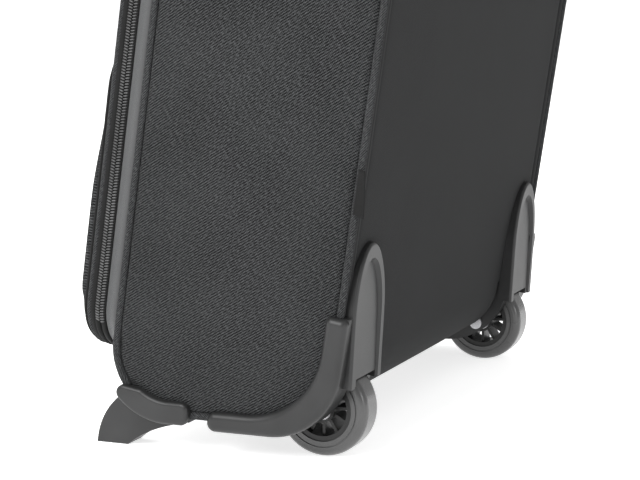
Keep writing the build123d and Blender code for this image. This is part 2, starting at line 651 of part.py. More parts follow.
def nodes():
    """Every node's name and its shape, in the case frame."""
    found = {
        "body_wrap": body_wrap(),
        "opening_gusset": opening_gusset(),
        "main_zip_body_half": zip_row(ZIP_Y - 0.05, ZIP_Y - ZIP_ROW),
        "main_zip_lid_half": zip_row(LID_Y + ZIP_ROW, LID_Y + 0.05),
        "lid_shell": lid_shell(),
        "lid_organiser": lid_organiser(),
        "front_pocket": front_pocket(),
        "pocket_zip": pocket_zip(),
        "upper_zip": upper_zip(),
        "badge": badge(),
        "handle_bezel": handle_bezel(),
        "outer_tubes": both(tube(TUBE_X, OUTER_LOW, OUTER_HIGH, OUTER_R)),
        "mid_tubes": both(tube(TUBE_X, MID_LOW, MID_HIGH, MID_R)),
        "inner_tubes": both(tube(TUBE_X, INNER_LOW, INNER_HIGH, INNER_R)),
        "tube_foot": tube_foot(),
        "tube_guides": tube_guides(),
        "mid_collars": mid_collars(),
        "grip": grip(),
        "button": button(),
        "release_rods": release_rods(),
        "button_springs": button_spring(),
        "carry_handle": carry_handle(),
        "carry_brackets": both(carry_bracket()),
        "carry_pins": both(carry_pin()),
        "back_board": back_board(),
        "base_board": base_board(),
        "rear_lining": rear_lining(),
        "laptop_pad": laptop_pad(),
        "sleeve_strap": sleeve_strap(),
        "file_divider": file_divider(),
        "seam_tag": seam_tag(),
    }
    right_pieces = {
        "side_panel": side_panel(), "piping": piping(), "wheel_housing": wheel_housing(),
        "tyre": tyre(), "rim": rim(), "bearings": bearings(),
        "axle": axle(), "axle_spacers": axle_spacers(), "foot": foot(),
    }
    for name, shape in right_pieces.items():
        found[name + "_right"] = shape
        found[name + "_left"] = mirrored(shape)
    sliders = {
        "main_right": main_slider(1), "main_left": main_slider(-1),
        "pocket": pocket_slider(-128, POCKET_ZIP_Z), "upper": pocket_slider(-98, UPPER_ZIP_Z),
    }
    for name, (body, pull) in sliders.items():
        found["slider_" + name] = body
        found["pull_" + name] = pull
    return found


os.makedirs("parts", exist_ok=True)
for name, shape in nodes().items():
    export_step(place(shape), f"parts/{name}.step")
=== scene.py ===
import json
from math import atan2, cos, hypot, pi, radians, sin, tanh

import bpy
from mathutils import Matrix, Vector


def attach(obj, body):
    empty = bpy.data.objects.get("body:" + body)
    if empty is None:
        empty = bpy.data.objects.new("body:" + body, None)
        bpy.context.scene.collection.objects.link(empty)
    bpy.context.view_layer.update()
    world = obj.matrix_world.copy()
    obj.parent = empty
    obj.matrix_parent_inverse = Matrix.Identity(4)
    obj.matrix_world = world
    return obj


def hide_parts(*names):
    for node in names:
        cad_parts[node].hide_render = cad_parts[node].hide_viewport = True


# Looks of the rolling laptop case: padded twill panels, piping, coil zippers, moulded plastic and wheels
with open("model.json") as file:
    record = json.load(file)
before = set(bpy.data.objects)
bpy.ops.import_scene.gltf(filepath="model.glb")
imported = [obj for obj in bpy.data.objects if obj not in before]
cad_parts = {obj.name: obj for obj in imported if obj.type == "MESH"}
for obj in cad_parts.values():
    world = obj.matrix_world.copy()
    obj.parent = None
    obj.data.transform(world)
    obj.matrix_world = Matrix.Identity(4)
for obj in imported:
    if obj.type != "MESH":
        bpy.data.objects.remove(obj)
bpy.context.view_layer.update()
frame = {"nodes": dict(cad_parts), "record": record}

# The case frame of the CAD, in millimetres, leans back by LEAN over the floor
LEAN = radians(9.4)
CENTRE_Y = 16.85
FLOOR_GAP = 25
BACK, FRONT, TOP = 76, -84, 415
R_TOP, R_FRONT_BOTTOM, R_REAR_BOTTOM = 24, 42, 46
HALF_WIDTH, WRAP_HALF = 193.5, 188.5
PIPING_R = 2.7
SECTION_HALF, SECTION_LOW, SECTION_HIGH, SECTION_R = 187, 45, 391, 38
ZIP_Y, ZIP_ROW, LID_Y, LID_FRONT = -98.5, 2.5, -104.3, -112.7
ZIP_END_Z = 67
POCKET_ZIP_Z, UPPER_ZIP_Z = 270, 340


def to_row(p):
    x, y, z = p
    return Vector((x, y * cos(LEAN) + z * sin(LEAN) - CENTRE_Y, z * cos(LEAN) - y * sin(LEAN))) / 1000


# Materials ----------------------------------------------------------------------------------------------

class Graph:
    """Short way to write a shader's nodes."""

    def __init__(self, name, rough, **sockets):
        self.mat = bpy.data.materials.new(name)
        self.mat.use_nodes = True
        self.tree = self.mat.node_tree
        self.bsdf = self.tree.nodes["Principled BSDF"]
        self.bsdf.inputs["Roughness"].default_value = rough
        for key, value in sockets.items():
            self.bsdf.inputs[key.replace("_", " ")].default_value = value

    def node(self, kind, links=(), **settings):
        made = self.tree.nodes.new(kind)
        for key, value in settings.items():
            setattr(made, key, value)
        for key, value in dict(links).items():
            if isinstance(value, bpy.types.NodeSocket):
                self.tree.links.new(value, made.inputs[key])
            else:
                made.inputs[key].default_value = value
        return made

    def math(self, op, *args):
        return self.node("ShaderNodeMath", enumerate(args), operation=op).outputs[0]

    def uv(self):
        sep = self.node("ShaderNodeSeparateXYZ", {0: self.node("ShaderNodeTexCoord").outputs["UV"]})
        return sep.outputs[0], sep.outputs[1]

    def point(self):
        return self.node("ShaderNodeTexCoord").outputs["Object"]

    def noise(self, where, scale, detail=2, rough=0.5):
        return self.node("ShaderNodeTexNoise", {"Vector": where, "Scale": scale, "Detail": detail,
                                                "Roughness": rough}).outputs[0]

    def ramp(self, value, low, high):
        """0 below low, 1 above high."""
        made = self.node("ShaderNodeMapRange", {0: value, 1: low, 2: high, 3: 0, 4: 1},
                         interpolation_type="SMOOTHSTEP")
        return made.outputs[0]

    def blend(self, share, dark, light):
        made = self.node("ShaderNodeMix", {0: share, 6: (*dark, 1), 7: (*light, 1)}, data_type="RGBA")
        return made.outputs[2]

    def wave(self, value, pitch):
        return self.math("SINE", self.math("MULTIPLY", value, 2 * pi / pitch))

    def colour(self, socket):
        self.tree.links.new(socket, self.bsdf.inputs["Base Color"])

    def rough(self, socket):
        self.tree.links.new(socket, self.bsdf.inputs["Roughness"])

    def bump(self, height, distance, strength=1.0, under=None):
        links = {"Height": height, "Distance": distance, "Strength": strength}
        if under is not None:
            links["Normal"] = under
        return self.node("ShaderNodeBump", links).outputs[0]

    def normal(self, socket):
        self.tree.links.new(socket, self.bsdf.inputs["Normal"])
        return self.mat


def twill(name, dark, light, pitch=1.35, bump=0.2, rough=0.85, sheen=0.02):
    """Steep diagonal ribs of a two-up twill with paler flecks where single threads show."""
    g = Graph(name, rough, Sheen_Weight=sheen, Sheen_Roughness=0.4, Specular_IOR_Level=0.16)
    u, v = g.uv()
    across = g.math("SUBTRACT", v, g.math("MULTIPLY", u, 0.8))
    along = g.math("ADD", g.math("MULTIPLY", v, 0.8), u)
    rib = g.ramp(g.wave(across, pitch * 1.28 / 1000), -0.9, 0.9)
    thread = g.ramp(g.wave(along, pitch * 0.95 / 1000), -1.0, 0.8)
    stretched = g.math("MULTIPLY", along, 0.45)
    cell = g.node("ShaderNodeCombineXYZ", {0: stretched, 1: across, 2: 0.0}).outputs[0]
    fleck = g.ramp(g.noise(cell, 780, 1.5), 0.42, 0.72)
    cloud = g.noise(g.point(), 22, 3)
    share = g.math("MULTIPLY", rib, g.math("ADD", g.math("MULTIPLY", thread, 0.6), 0.2))
    share = g.math("ADD", share, g.math("MULTIPLY", fleck, 0.5))
    share = g.math("ADD", share, g.math("MULTIPLY", g.math("SUBTRACT", cloud, 0.5), 0.25))
    g.colour(g.blend(share, dark, light))
    height = g.math("ADD", rib, g.math("MULTIPLY", thread, 0.5))
    soft = g.bump(g.noise(g.point(), 60, 3), 0.0007, 0.5)
    return g.normal(g.bump(height, bump / 1000, 0.8, soft))


def weave(name, dark, light, pitch=0.7, bump=0.08, rough=0.9, sheen=0.02):
    """Plain close weave."""
    g = Graph(name, rough, Sheen_Weight=sheen, Sheen_Roughness=0.45, Specular_IOR_Level=0.16)
    u, v = g.uv()
    warp, weft = g.wave(u, pitch / 1000), g.wave(v, pitch / 1000)
    check = g.ramp(g.math("MULTIPLY", warp, weft), -0.8, 0.8)
    cloud = g.noise(g.point(), 16, 4)
    grain = g.noise(g.point(), 900, 2)
    share = g.math("ADD", g.math("MULTIPLY", check, 0.4), g.math("MULTIPLY", cloud, 0.35))
    share = g.math("ADD", share, g.math("MULTIPLY", grain, 0.25))
    g.colour(g.blend(share, dark, light))
    soft = g.bump(g.noise(g.point(), 38, 3), 0.0008, 0.5)
    return g.normal(g.bump(check, bump / 1000, 0.7, soft))


def moulded(name, dark, light, rough=0.42, grain=0.05, coat=0.0):
    """Moulded plastic with fine spark-eroded grain and slight wear."""
    g = Graph(name, rough, Specular_IOR_Level=0.4, Coat_Weight=coat, Coat_Roughness=0.25)
    fine = g.noise(g.point(), 2600, 2)
    cloud = g.noise(g.point(), 26, 4)
    g.colour(g.blend(g.ramp(cloud, 0.3, 0.75), dark, light))
    g.rough(g.math("ADD", g.math("MULTIPLY", cloud, 0.16), rough - 0.08))
    broad = g.bump(g.noise(g.point(), 45, 2), 0.0004, 0.25)
    return g.normal(g.bump(fine, grain / 1000, 0.6, broad))


def metal(name, colour, rough=0.3, stretch=(400, 400, 8), bump=0.004):
    """Metal with fine drawn lines."""
    g = Graph(name, rough, Metallic=1.0)
    lines = g.node("ShaderNodeMapping", {"Vector": g.point(), "Scale": stretch}).outputs[0]
    grain = g.noise(lines, 6, 3)
    g.colour(g.blend(grain, tuple(0.8 * c for c in colour), colour))
    g.rough(g.math("ADD", g.math("MULTIPLY", grain, 0.2), rough - 0.1))
    return g.normal(g.bump(grain, bump / 1000, 0.5))


def tape(name, dark, light):
    """Woven zipper tape with ribs across it."""
    g = Graph(name, 0.85, Sheen_Weight=0.03, Sheen_Roughness=0.5, Specular_IOR_Level=0.2)
    u, v = g.uv()
    ribs = g.ramp(g.wave(u, 0.9 / 1000), -0.8, 0.8)
    threads = g.ramp(g.wave(v, 0.6 / 1000), -0.8, 0.8)
    share = g.math("ADD", g.math("MULTIPLY", ribs, 0.5), g.math("MULTIPLY", threads, 0.3))
    g.colour(g.blend(share, dark, light))
    return g.normal(g.bump(share, 0.0001, 0.7))


def grey(value, tint=0.0):
    return (value * (1 - tint), value, value * (1 + tint))


TWILL = twill("twill", grey(0.001, 0.02), grey(0.073, 0.03), pitch=1.55, bump=0.3)
TWILL_PIPING = twill("twill_piping", grey(0.004, 0.02), grey(0.085, 0.03), pitch=1.2)
BACK_CLOTH = weave("back_cloth", grey(0.012, 0.02), grey(0.026, 0.02))
SATIN = weave("satin_gusset", grey(0.055, 0.01), grey(0.12, 0.02), pitch=0.5, rough=0.5, sheen=0.2)
LINING = weave("lining_cloth", grey(0.08, 0.02), grey(0.17, 0.02), pitch=0.8, rough=0.8)
DARK_CLOTH = weave("dark_cloth", grey(0.006), grey(0.02), pitch=0.6)
TAPE = tape("zip_tape", grey(0.005), grey(0.02))
COIL = moulded("zip_coil", grey(0.07), grey(0.11), rough=0.32, grain=0.02)
MOULDED = moulded("moulded_grey", grey(0.018, 0.01), grey(0.028, 0.01), rough=0.4)
BLACK_PLASTIC = moulded("black_plastic", grey(0.01), grey(0.02), rough=0.44)
BOARD = moulded("board", grey(0.03), grey(0.06), rough=0.6)
TYRE = moulded("tyre", grey(0.05), grey(0.07), rough=0.26, grain=0.015, coat=0.6)
RIM = moulded("rim", grey(0.008), grey(0.018), rough=0.35)
STEEL = metal("steel", (0.6, 0.6, 0.62), 0.25)
TUBE = metal("tube", (0.55, 0.55, 0.57), 0.32)
NICKEL = metal("black_nickel", (0.09, 0.09, 0.095), 0.28, stretch=(60, 60, 60))
PLATE = metal("name_plate", (0.5, 0.5, 0.52), 0.3, stretch=(8, 400, 400))
THREAD = moulded("thread", grey(0.02), grey(0.04), rough=0.7)

CAD_LOOKS = {
    "moulded_grey": MOULDED, "black_plastic": BLACK_PLASTIC, "board": BOARD, "tyre_pu": TYRE,
    "rim_plastic": RIM, "steel": STEEL, "tube_metal": TUBE, "zip_metal": NICKEL, "plate_metal": PLATE,
}
for part in frame["record"]["subparts"]:
    look = CAD_LOOKS.get(part["material_slot"])
    if look:
        for place in frame["nodes"][part["node"]].material_slots:
            place.material = look


# Outlines -----------------------------------------------------------------------------------------------

def from_floor(y, z):
    return y * cos(LEAN) - z * sin(LEAN), y * sin(LEAN) + z * cos(LEAN)


def bottom_z(y, inset):
    return (FLOOR_GAP + inset + y * sin(LEAN)) / cos(LEAN)


def rounded(corners, radii, step=2.0):
    """Closed line through corners with rounded turns, anticlockwise, in steps of about the given length."""
    line = []
    count = len(corners)
    for i, (corner, r) in enumerate(zip(corners, radii)):
        here = Vector(corner)
        back = (Vector(corners[i - 1]) - here).normalized()
        ahead = (Vector(corners[(i + 1) % count]) - here).normalized()
        half = back.angle(ahead) / 2
        centre = here + (back + ahead).normalized() * (r / sin(half))
        start = here + back * (r / (sin(half) / cos(half)))
        end = here + ahead * (r / (sin(half) / cos(half)))
        a0, a1 = atan2(*(start - centre).yx), atan2(*(end - centre).yx)
        turn = (a1 - a0 + pi) % (2 * pi) - pi
        steps = max(3, int(abs(turn) * r / step))
        for k in range(steps + 1):
            a = a0 + turn * k / steps
            line.append(Vector((centre.x + r * cos(a), centre.y + r * sin(a))))
    return line


def resample(line, count, closed=True):
    """The same line with points evenly spaced along it."""
    points = line + line[:1] if closed else line
    lengths = [0.0]
    for a, b in zip(points, points[1:]):
        lengths.append(lengths[-1] + (b - a).length)
    out, k = [], 0
    for i in range(count):
        at = lengths[-1] * i / (count if closed else count - 1)
        while k < len(lengths) - 2 and lengths[k + 1] < at:
            k += 1
        span = lengths[k + 1] - lengths[k]
        out.append(points[k].lerp(points[k + 1], (at - lengths[k]) / span if span else 0))
    return out


def side_line(inset, step=2.0):
    y0, y1, z1 = FRONT + inset, BACK - inset, TOP - inset
    corners = [(y0, bottom_z(y0, inset)), (y1, bottom_z(y1, inset)), (y1, z1), (y0, z1)]
    radii = [r - inset for r in (R_FRONT_BOTTOM, R_REAR_BOTTOM, R_TOP, R_TOP)]
    return rounded(corners, radii, step)


def section_line(inset, step=2.0):
    x, z0, z1, r = SECTION_HALF - inset, SECTION_LOW + inset, SECTION_HIGH - inset, SECTION_R - inset
    return rounded([(-x, z0), (x, z0), (x, z1), (-x, z1)], [r] * 4, step)


def outward(line):
    """Unit normals of a closed anticlockwise line."""
    found = []
    for i in range(len(line)):
        along = (line[(i + 1) % len(line)] - line[i - 1]).normalized()
        found.append(Vector((along.y, -along.x)))
    return found


# Pieces -------------------------------------------------------------------------------------------------

def piece(name, points, faces, material, uvs=None, smooth=True):
    """Mesh from case-frame points, with a UV in metres for each point where given."""
    mesh = bpy.data.meshes.new(name)
    mesh.from_pydata([to_row(p) for p in points], [], faces)
    if uvs:
        layer = mesh.uv_layers.new(name="UVMap")
        for loop in mesh.loops:
            layer.data[loop.index].uv = (uvs[loop.vertex_index][0] / 1000, uvs[loop.vertex_index][1] / 1000)
    mesh.materials.append(material)
    if smooth:
        mesh.shade_smooth()
    made = bpy.data.objects.new(name, mesh)
    bpy.context.collection.objects.link(made)
    return made


def settle(made, body, slot, *nodes):
    """Gives a finished piece its body and hides the CAD nodes it stands for; slot is not used."""
    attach(made, body)
    if nodes:
        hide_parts(*nodes)
    return made


def apply_modifiers(made):
    depsgraph = bpy.context.evaluated_depsgraph_get()
    mesh = bpy.data.meshes.new_from_object(made.evaluated_get(depsgraph))
    made.modifiers.clear()
    made.data = mesh
    return made


def add_modifier(made, kind, **settings):
    mod = made.modifiers.new(kind.lower(), kind)
    for key, value in settings.items():
        setattr(mod, key, value)
    return mod


def patch(line, nu, nv, marks):
    """Grid of nv + 1 rows by nu + 1 columns inside a closed line, split into four sides at the marks."""
    starts = [min(range(len(line)), key=lambda i: (line[i] - Vector(m)).length) for m in marks]
    sides = []
    for a, b, count in zip(starts, starts[1:] + starts[:1], (nu, nv, nu, nv)):
        run = line[a:b + 1] if b > a else line[a:] + line[:b + 1]
        sides.append(resample(run, count + 1, closed=False))
    low, right, high, left = sides[0], sides[1], sides[2][::-1], sides[3][::-1]
    rows = []
    for j in range(nv + 1):
        t = j / nv
        row = []
        for i in range(nu + 1):
            s = i / nu
            edge = low[i] * (1 - t) + high[i] * t + left[j] * (1 - s) + right[j] * s
            corner = low[0] * (1 - s) * (1 - t) + low[nu] * s * (1 - t)
            corner = corner + high[0] * (1 - s) * t + high[nu] * s * t
            row.append(edge - corner)
        rows.append(row)
    return rows


def puff(made, pressure, cap, frames=18, stiffness=12):
    """Swells a pinned mesh by cloth simulation, and keeps each point within cap of where it began."""
    start = [v.co.copy() for v in made.data.vertices]
    cloth = add_modifier(made, "CLOTH")
    cloth.settings.vertex_group_mass = "pin"
    cloth.settings.use_pressure = True
    cloth.settings.uniform_pressure_force = pressure
    cloth.settings.tension_stiffness = stiffness
    cloth.settings.compression_stiffness = stiffness
    cloth.settings.bending_stiffness = 0.6
    cloth.settings.mass = 0.25
    cloth.settings.quality = 5
    cloth.settings.effector_weights.gravity = 0
    cloth.collision_settings.use_collision = False
    cloth.point_cache.frame_start = 1
    cloth.point_cache.frame_end = frames
    scene = bpy.context.scene
    for number in range(1, frames + 1):
        scene.frame_set(number)
    apply_modifiers(made)
    scene.frame_set(1)
    for vertex, before in zip(made.data.vertices, start):
        move = vertex.co - before
        if move.length > 1e-9:
            vertex.co = before + move.normalized() * cap * tanh(move.length / cap)


def pillow(name, line, marks, lift, depth, material, nu, nv, cap,
           pressure=4, seam=2.5, edge=4.0, skirt=None):
    """Padded form over a closed line: a face that falls to its seam round the edge, then a back or a skirt.

    lift(u, v, d) gives the case-frame point at height d over the panel's plane. The skirt is
    (how far out, how high) for an open edge that tucks under the piping.
    """
    rows = patch(line, nu, nv, marks)
    flat = [p for row in rows for p in row]
    rim = [Vector(p) for p in line]
    middle = sum(rim, Vector((0, 0))) / len(rim)

    def drop(p):
        near = min((p - q).length for q in rim[::2])
        return seam * max(0.0, 1 - near / edge) ** 2

    points, uvs, faces = [], [], []
    for p in flat:
        fall = drop(p)
        points.append(lift(p.x, p.y, depth - fall))
        uvs.append(p + (p - middle).normalized() * fall)
    wide = nu + 1
    for j in range(nv):
        for i in range(nu):
            a = j * wide + i
            faces.append((a, a + 1, a + wide + 1, a + wide))
    border = list(range(wide)) + [j * wide + nu for j in range(1, nv + 1)]
    border += [nv * wide + i for i in range(nu - 1, -1, -1)] + [j * wide for j in range(nv - 1, 0, -1)]
    pinned = list(border)
    base = len(points)
    if skirt:
        for i, n in zip(border, outward([flat[i] for i in border])):
            q = flat[i] + n * skirt[0]
            points.append(lift(q.x, q.y, skirt[1]))
            uvs.append((q.x, q.y))
        for k, a in enumerate(border):
            n = (k + 1) % len(border)
            faces.append((a, base + k, base + n, border[n]))
        pinned += range(base, len(points))
    else:
        for p in flat:
            points.append(lift(p.x, p.y, 0))
            uvs.append((p.x, p.y))
        for j in range(nv):
            for i in range(nu):
                a = base + j * wide + i
                faces.append((a, a + wide, a + wide + 1, a + 1))
        for a, b in zip(border, border[1:] + border[:1]):
            faces.append((a, a + base, b + base, b))
        pinned += range(base, len(points))
    made = piece(name, points, faces, material, uvs)
    group = made.vertex_groups.new(name="pin")
    group.add(pinned, 1.0, "REPLACE")
    puff(made, pressure, cap / 1000)
    add_modifier(made, "SUBSURF", levels=1, render_levels=1)
    return apply_modifiers(made)


def tube(name, path, radius, material, closed=True, sides=12, squash=1.0, wobble=0.0):
    """Round cord along case-frame points, with its UV along and round it."""
    count = len(path)
    points, uvs, faces = [], [], []
    run = 0.0
    for i, p in enumerate(path):
        ahead = path[(i + 1) % count] if closed or i < count - 1 else p
        behind = path[i - 1] if closed or i > 0 else p
        along = (ahead - behind).normalized()
        side = along.cross(Vector((1, 0, 0)) if abs(along.x) < 0.9 else Vector((0, 1, 0))).normalized()
        other = along.cross(side)
        if i:
            run += (p - path[i - 1]).length
        r = radius * (1 + wobble * sin(run * 0.9) * sin(run * 0.37 + 1))
        for k in range(sides):
            a = 2 * pi * k / sides
            points.append(p + side * cos(a) * r + other * sin(a) * r * squash)
            uvs.append((run, radius * a))
    last = count if closed else count - 1
    for i in range(last):
        a, b = i * sides, (i + 1) % count * sides
        for k in range(sides):
            n = (k + 1) % sides
            faces.append((a + k, a + n, b + n, b + k))
    if not closed:
        faces.append(tuple(range(sides))[::-1])
        faces.append(tuple(range((count - 1) * sides, count * sides)))
    return piece(name, points, faces, material, uvs)


def sweep(name, line, normals, profile, at, material, closed=True):
    """Sheet swept along a flat line: the profile gives (offset out of the line, depth) pairs."""
    points, uvs, faces = [], [], []
    run, width = 0.0, len(profile)
    girth = [0.0]
    for (a, b), (c, d) in zip(profile, profile[1:]):
        girth.append(girth[-1] + hypot(c - a, d - b))
    for i, (p, n) in enumerate(zip(line, normals)):
        if i:
            run += (p - line[i - 1]).length
        for (out, deep), g in zip(profile, girth):
            q = p + n * out
            points.append(at(q.x, q.y, deep))
            uvs.append((run, g))
    count = len(line)
    for i in range(count if closed else count - 1):
        a, b = i * width, (i + 1) % count * width
        for k in range(width - 1):
            faces.append((a + k, b + k, b + k + 1, a + k + 1))
    return piece(name, points, faces, material, uvs)


def joined(name, pieces):
    """One object from several."""
    bpy.ops.object.select_all(action="DESELECT")
    for made in pieces:
        made.select_set(True)
    bpy.context.view_layer.objects.active = pieces[0]
    bpy.ops.object.join()
    pieces[0].name = name
    return pieces[0]


def mirrored(made, name):
    """Mirror image in the case's middle plane."""
    mesh = made.data.copy()
    mesh.transform(Matrix.Scale(-1, 4, (1, 0, 0)))
    mesh.flip_normals()
    other = bpy.data.objects.new(name, mesh)
    bpy.context.collection.objects.link(other)
    return other


def sheet_of(name, rows, uvs, material, thick=0.0):
    """Sheet through rows of case-frame points, thickened about its middle if thick is given."""
    wide = len(rows[0])
    points = [p for row in rows for p in row]
    starts = [j * wide + i for j in range(len(rows) - 1) for i in range(wide - 1)]
    made = piece(name, points, [(a, a + 1, a + wide + 1, a + wide) for a in starts], material, uvs)
    if thick:
        add_modifier(made, "SOLIDIFY", thickness=thick / 1000, offset=0)
        apply_modifiers(made)
    return made


def side_at(u, v, d):
    return Vector((d, u, v))


def front_at(u, v, d):
    return Vector((u, d, v))


def teeth(name, spots, length, pitch_half, high):
    """Coil teeth: each spot is (place, along, out, across, slant) in the case frame."""
    points, faces = [], []
    ring = [(-1.0, 0.0), (-0.62, 0.8), (0.0, 1.0), (0.62, 0.8), (1.0, 0.0), (0.0, -0.25)]
    for place, along, out, across, slant in spots:
        base = len(points)
        for t, grow in ((-0.5, 0.55), (-0.36, 1.0), (0.36, 1.0), (0.5, 0.6)):
            middle = place + across * (t * length) + along * (t * length * slant)
            for a, b in ring:
                points.append(middle + along * (a * pitch_half * grow) + out * (b * high * grow))
        for k in range(3):
            a, b = base + 6 * k, base + 6 * (k + 1)
            for i in range(6):
                n = (i + 1) % 6
                faces.append((a + i, a + n, b + n, b + i))
        faces.append(tuple(base + i for i in range(6))[::-1])
        faces.append(tuple(base + 18 + i for i in range(6)))
    return piece(name, points, faces, COIL)


def stitches(name, spots, length=2.4, radius=0.32):
    """Rows of thread stitches: each spot is (place, along, out)."""
    points, faces = [], []
    for place, along, out in spots:
        side = along.cross(out)
        base = len(points)
        for t, lift, r in ((-0.5, -0.3, 0.4), (-0.3, 0.12, 1), (0.3, 0.12, 1), (0.5, -0.3, 0.4)):
            for k in range(5):
                a = 2 * pi * k / 5
                middle = place + along * (t * length)
                points.append(middle + out * (lift + radius * r * sin(a)) + side * (radius * r * cos(a)))
        for k in range(3):
            a, b = base + 5 * k, base + 5 * (k + 1)
            for i in range(5):
                n = (i + 1) % 5
                faces.append((a + i, a + n, b + n, b + i))
    return piece(name, points, faces, THREAD)


# Side panels and piping ---------------------------------------------------------------------------------

SIDE_MARKS = [(-74, 30), (66, 52), (70, 408), (-78, 408)]       # corners that split the side outline
GUARD_FRONT, GUARD_TOP = -7, 113
FOOT_REAR, FOOT_HIGH = from_floor(-17, 26)[0], from_floor(-70, 45)[1]
TUCK = 2                   # how far the piping runs in under the moulded pieces
panel_line = side_line(4.2)
panel = pillow("side_panel_right_pad", panel_line, SIDE_MARKS, side_at, HALF_WIDTH, TWILL, 32, 78,
               cap=2.6, pressure=3, seam=3.2, edge=7, skirt=(2.4, WRAP_HALF + 0.3))
panel_left = mirrored(panel, "side_panel_left_pad")
for made, side in ((panel, "right"), (panel_left, "left")):
    settle(made, "case", "twill", f"side_panel_{side}")

CORD_X = WRAP_HALF + PIPING_R + 0.1
cord_line = resample(side_line(0.7), 620)


def covered(p):
    """True where the moulded guard or the foot covers the piping."""
    guard = p.x > GUARD_FRONT + TUCK and p.y < GUARD_TOP - TUCK
    return guard or (p.x < FOOT_REAR - TUCK and p.y < FOOT_HIGH - TUCK)


first = next(i for i in range(len(cord_line)) if covered(cord_line[i - 1]) and not covered(cord_line[i]))
runs, run = [], []
for p in cord_line[first:] + cord_line[:first]:
    if covered(p):
        if len(run) > 3:
            runs.append(run)
        run = []
    else:
        run.append(p)
if len(run) > 3:
    runs.append(run)
cords = [tube(f"cord_{i}", [Vector((CORD_X, p.x, p.y)) for p in r], PIPING_R, TWILL_PIPING, closed=False,
              sides=14, wobble=0.02) for i, r in enumerate(runs)]
cord_right = joined("piping_right_cord", cords)
cord_left = mirrored(cord_right, "piping_left_cord")
settle(cord_right, "case", "twill", "piping_right")
settle(cord_left, "case", "twill", "piping_left")


# Body wrap ----------------------------------------------------------------------------------------------

def wrap_rise(x):
    """Rolled edge beside the piping, then a flat field."""
    gap = WRAP_HALF - abs(x)
    roll = 1.0 * max(0.0, 1 - ((gap - 3.6) / 2.8) ** 2)
    seam = -1.8 * max(0.0, 1 - gap / 1.8)
    crease = -0.5 * max(0.0, 1 - ((gap - 7.6) / 1.6) ** 2)
    return roll + seam + crease


WRAP_THICK = 3.4           # laid on outward from the inner skin
edges = [188.5, 187.6, 186.4, 185, 183.6, 182.3, 181, 179.6, 177, 172, 166]
columns = edges + [160 - 8 * i for i in range(1, 20)]
xs = sorted({0, *columns, *(-x for x in columns)})
WRAP_RINGS, WRAP_GIRTH = 300, 1180      # rows round the body, and the length round it for the UVs
wrap_line = resample(side_line(0), WRAP_RINGS)
wrap_out = outward(wrap_line)
points, uvs, faces = [], [], []
for i, (p, n) in enumerate(zip(wrap_line, wrap_out)):
    for x in xs:
        bulge = 0.9 * cos(x / WRAP_HALF * pi / 2) ** 0.5 if p.x > 0 else 0.5
        lift = wrap_rise(x) + bulge * 0.6 - 0.4 - WRAP_THICK
        q = p + n * lift
        points.append(Vector((x, q.x, q.y)))
        uvs.append((x, i * WRAP_GIRTH / WRAP_RINGS))
for i in range(WRAP_RINGS):
    for k in range(len(xs) - 1):
        a, b = i * len(xs), (i + 1) % WRAP_RINGS * len(xs)
        faces.append((a + k, a + k + 1, b + k + 1, b + k))
wrap = piece("body_wrap_cloth", points, faces, BACK_CLOTH, uvs)
add_modifier(wrap, "SOLIDIFY", thickness=WRAP_THICK / 1000, offset=-1)
apply_modifiers(wrap)


def cutter_from(points_2d, at, d0, d1):
    """Prism used to cut an opening, removed again afterwards."""
    count = len(points_2d)
    pts = [at(p.x, p.y, d0) for p in points_2d] + [at(p.x, p.y, d1) for p in points_2d]
    fcs = [tuple(range(count)), tuple(range(count, 2 * count))[::-1]]
    for i in range(count):
        n = (i + 1) % count
        fcs.append((i, i + count, n + count, n))
    made = piece("cutter", pts, fcs, BACK_CLOTH, smooth=False)
    bpy.ops.object.select_all(action="DESELECT")
    made.select_set(True)
    bpy.context.view_layer.objects.active = made
    bpy.ops.object.mode_set(mode="EDIT")
    bpy.ops.mesh.select_all(action="SELECT")
    bpy.ops.mesh.normals_make_consistent(inside=False)
    bpy.ops.object.mode_set(mode="OBJECT")
    return made


def cut(made, cutter):
    add_modifier(made, "BOOLEAN", operation="DIFFERENCE", solver="EXACT", object=cutter)
    apply_modifiers(made)
    bpy.data.objects.remove(cutter)


WHEEL_Y, WHEEL_Z = from_floor(68.3, 32.5)
WELL_R, WELL_SIDES = 40.2, 40
WELL_X0, WELL_X1 = 133.5, 196
TRAY_HALF, TRAY_FRONT, TRAY_LOW = 124.3, 37.6, 388.6
turns = [2 * pi * i / WELL_SIDES for i in range(WELL_SIDES)]
drum = [Vector((WHEEL_Y + WELL_R * cos(a), WHEEL_Z + WELL_R * sin(a))) for a in turns]
tray_corners = ((TRAY_FRONT, TRAY_LOW), (90, TRAY_LOW), (90, 430), (TRAY_FRONT, 430))
tray = [Vector(p) for p in tray_corners]
cut(wrap, cutter_from(section_line(14, 4), front_at, FRONT - 6, FRONT + 12))
cut(wrap, cutter_from(drum, side_at, WELL_X0, WELL_X1))
cut(wrap, cutter_from(drum, side_at, -WELL_X1, -WELL_X0))
cut(wrap, cutter_from(tray, side_at, -TRAY_HALF, TRAY_HALF))
settle(wrap, "case", "back_fabric", "body_wrap")


# Front opening: satin gusset and the body's half of the zipper --------------------------------------------

ring_line = resample(section_line(0), 420)
ring_out = outward(ring_line)
gusset_profile = [(out, FRONT + ahead) for out, ahead in (
    (-13, 0.9), (-6, 0.5), (-2.6, -0.4), (-1.2, -1.6), (0.3, -2.6), (1.3, -4.0), (1.5, -5.4), (1.1, -7.2),
    (0.3, -9), (-0.2, -11), (-0.2, -12.4), (-0.7, -13.2), (-2.8, -13.4), (-2.9, -6), (-3.0, 1))]
gusset = sweep("front_gusset_satin", ring_line, ring_out, gusset_profile, front_at, SATIN)
settle(gusset, "case", "satin_gusset", "opening_gusset")


